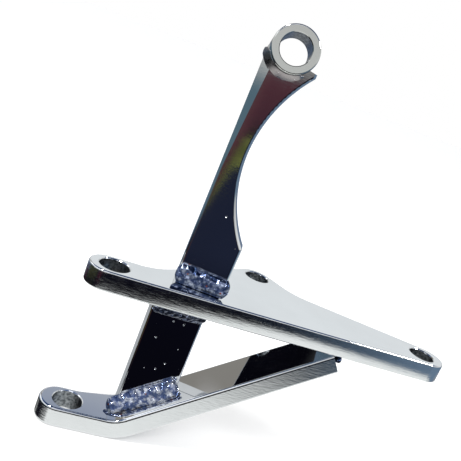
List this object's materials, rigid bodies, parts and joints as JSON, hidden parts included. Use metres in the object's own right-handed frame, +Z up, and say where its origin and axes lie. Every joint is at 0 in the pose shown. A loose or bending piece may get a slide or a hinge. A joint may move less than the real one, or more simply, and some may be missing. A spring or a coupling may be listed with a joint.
{
  "type": "engine accessory bracket",
  "caption": "Chrome-plated welded bracket of flat bar: a three-hole plate, a bent lower ear below it on a post, and an upright scalloped arm ending in an eye",
  "frame": {"origin": "where the pivot axis of the two left ears meets the top face of the upper plate", "axes": "+Z up along the pivot axis, +X along the long straight front edge towards the narrow end, +Y from the front edge towards the back lobe"},
  "size_m": [0.1514, 0.0484, 0.1687],
  "materials": {
    "chrome": "polished plating with faint grinding marks",
    "weld_chrome": "plated over rough weld ripples"
  },
  "bodies": {
    "root": {"upper_plate": "chrome", "lower_bar": "chrome", "post": "chrome", "arm": "chrome", "eye_bush": "chrome", "weld_arm_front": "weld_chrome", "weld_arm_back": "weld_chrome", "weld_post_head_front": "weld_chrome", "weld_post_head_back": "weld_chrome", "weld_post_foot": "weld_chrome", "weld_bar_end": "weld_chrome", "weld_eye_front": "weld_chrome", "weld_eye_back": "weld_chrome"}
  },
  "joints": []
}
